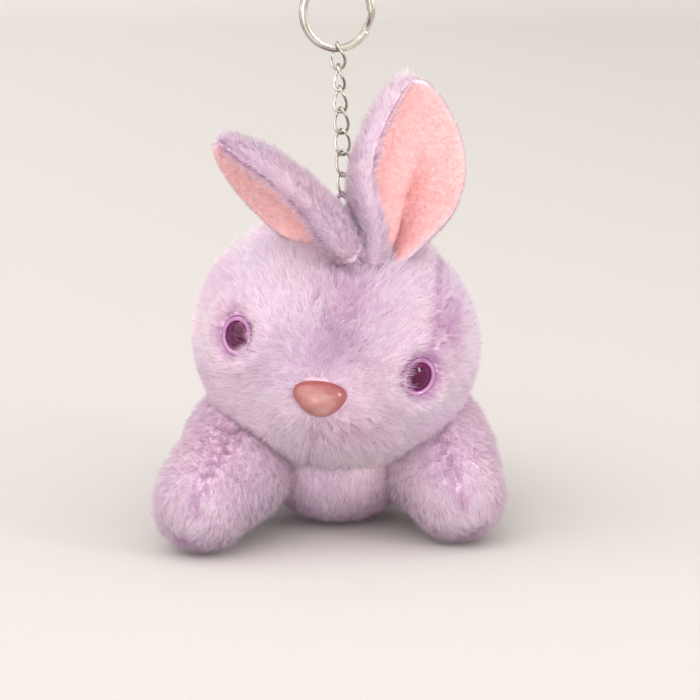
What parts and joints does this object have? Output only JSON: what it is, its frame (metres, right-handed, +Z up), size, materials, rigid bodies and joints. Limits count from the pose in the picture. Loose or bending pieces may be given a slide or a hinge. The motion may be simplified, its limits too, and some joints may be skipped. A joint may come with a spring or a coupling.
{
  "type": "plush keychain",
  "caption": "Small plush rabbit lying on its belly, with glossy eyes and nose, lined ears, a twisted-link chain from the crown and a flat-wire split ring.",
  "frame": {"origin": "on the table plane, at the middle of the belly's flat underside", "axes": "+Z up from the table, -Y the way the rabbit faces. Names say left and right as seen from the front, so left is -X."},
  "size_m": [0.1024, 0.1228, 0.1681],
  "materials": {
    "lilac_plush": "short curly faux-fur pile, lilac",
    "pink_lining": "short brushed pile, salmon pink",
    "filling": "white polyester fibre wad",
    "clear_plastic": "polished translucent violet",
    "iris_foil": "metallic violet print",
    "pupil_plastic": "polished near-black violet",
    "white_plastic": "natural moulded polyethylene",
    "nose_plastic": "pearly coral pink",
    "loop_cord": "lilac woven cord",
    "nickel_wire": "polished nickel plate"
  },
  "bodies": {
    "body": {"body_skin": "lilac_plush", "body_filling": "filling", "tail_skin": "lilac_plush", "tail_filling": "filling"},
    "head": {"head_skin": "lilac_plush", "head_filling": "filling", "nose_button": "nose_plastic", "nose_washer": "white_plastic", "hang_loop": "loop_cord", "eye_left_post": "white_plastic", "eye_left_iris": "iris_foil", "eye_left_pupil": "pupil_plastic", "eye_left_lens": "clear_plastic", "eye_left_washer": "white_plastic", "eye_right_post": "white_plastic", "eye_right_iris": "iris_foil", "eye_right_pupil": "pupil_plastic", "eye_right_lens": "clear_plastic", "eye_right_washer": "white_plastic"},
    "front_leg_left": {"front_leg_left_skin": "lilac_plush", "front_leg_left_filling": "filling"},
    "front_leg_right": {"front_leg_right_skin": "lilac_plush", "front_leg_right_filling": "filling"},
    "hind_leg_left": {"hind_leg_left_skin": "lilac_plush", "hind_leg_left_filling": "filling"},
    "hind_leg_right": {"hind_leg_right_skin": "lilac_plush", "hind_leg_right_filling": "filling"},
    "ear_left": {"ear_left_back": "lilac_plush", "ear_left_lining": "pink_lining"},
    "ear_right": {"ear_right_back": "lilac_plush", "ear_right_lining": "pink_lining"},
    "chain_link_1": {"chain_link_1": "nickel_wire"},
    "chain_link_2": {"chain_link_2": "nickel_wire"},
    "chain_link_3": {"chain_link_3": "nickel_wire"},
    "chain_link_4": {"chain_link_4": "nickel_wire"},
    "chain_link_5": {"chain_link_5": "nickel_wire"},
    "chain_link_6": {"chain_link_6": "nickel_wire"},
    "ring_link": {"ring_link": "nickel_wire"},
    "key_ring": {"key_ring": "nickel_wire"}
  },
  "joints": [
    {"name": "neck_nod", "type": "hinge", "parent": "body", "child": "head", "pos_m": [0.001, -0.012, 0.025], "axis": [1, 0, 0], "range_deg": [-5, 5], "stiffness_Nm_per_rad": 0.4},
    {"name": "front_leg_left_swing", "type": "hinge", "parent": "body", "child": "front_leg_left", "pos_m": [-0.026, -0.022, 0.02], "axis": [0, 0, -1], "range_deg": [0, 25], "stiffness_Nm_per_rad": 0.02},
    {"name": "front_leg_right_swing", "type": "hinge", "parent": "body", "child": "front_leg_right", "pos_m": [0.029, -0.018, 0.02], "axis": [0, 0, 1], "range_deg": [0, 25], "stiffness_Nm_per_rad": 0.02},
    {"name": "hind_leg_left_swing", "type": "hinge", "parent": "body", "child": "hind_leg_left", "pos_m": [-0.022, 0.022, 0.016], "axis": [0, 0, 1], "range_deg": [0, 30], "stiffness_Nm_per_rad": 0.02},
    {"name": "hind_leg_right_swing", "type": "hinge", "parent": "body", "child": "hind_leg_right", "pos_m": [0.019, 0.024, 0.016], "axis": [0, 0, -1], "range_deg": [0, 30], "stiffness_Nm_per_rad": 0.02},
    {"name": "ear_left_lift", "type": "hinge", "parent": "head", "child": "ear_left", "pos_m": [-0.00169, -0.04174, 0.09325], "axis": [-0.199, 0.98, 0], "range_deg": [0, 20], "stiffness_Nm_per_rad": 0.02},
    {"name": "ear_right_tilt", "type": "hinge", "parent": "head", "child": "ear_right", "pos_m": [0.01945, -0.03826, 0.09113], "axis": [0.9614, 0.2, -0.1891], "range_deg": [-10, 12], "stiffness_Nm_per_rad": 0.02},
    {"name": "chain_link_1_swing", "type": "hinge", "parent": "head", "child": "chain_link_1", "pos_m": [0.0036, -0.006, 0.0999], "axis": [0.3902, 0.9205, 0.0204], "range_deg": [-25, 12]},
    {"name": "chain_link_2_swing", "type": "hinge", "parent": "chain_link_1", "child": "chain_link_2", "pos_m": [0.00319, -0.006, 0.10769], "axis": [0.9192, -0.3907, 0.0482], "range_deg": [-30, 4]},
    {"name": "chain_link_3_swing", "type": "hinge", "parent": "chain_link_2", "child": "chain_link_3", "pos_m": [0.00291, -0.006, 0.11298], "axis": [0.818, 0.5736, 0.0429], "range_deg": [-20, 5]},
    {"name": "chain_link_4_swing", "type": "hinge", "parent": "chain_link_3", "child": "chain_link_4", "pos_m": [0.00251, -0.006, 0.12077], "axis": [0.5728, -0.8192, 0.03], "range_deg": [-20, 8]},
    {"name": "chain_link_5_swing", "type": "hinge", "parent": "chain_link_4", "child": "chain_link_5", "pos_m": [0.00223, -0.006, 0.12606], "axis": [0.9973, 0.0523, 0.0523], "range_deg": [-25, 4]},
    {"name": "chain_link_6_swing", "type": "hinge", "parent": "chain_link_5", "child": "chain_link_6", "pos_m": [0.00182, -0.006, 0.13385], "axis": [0.0523, -0.9986, 0.0027], "range_deg": [-20, 20]},
    {"name": "ring_link_swing", "type": "hinge", "parent": "chain_link_6", "child": "ring_link", "pos_m": [0.00154, -0.006, 0.13915], "axis": [0.9986, 0, 0.0523], "range_deg": [-25, 4]},
    {"name": "key_ring_swing", "type": "hinge", "parent": "ring_link", "child": "key_ring", "pos_m": [0.00113, -0.006, 0.14694], "axis": [0, -1, 0], "range_deg": [-20, 20]}
  ]
}
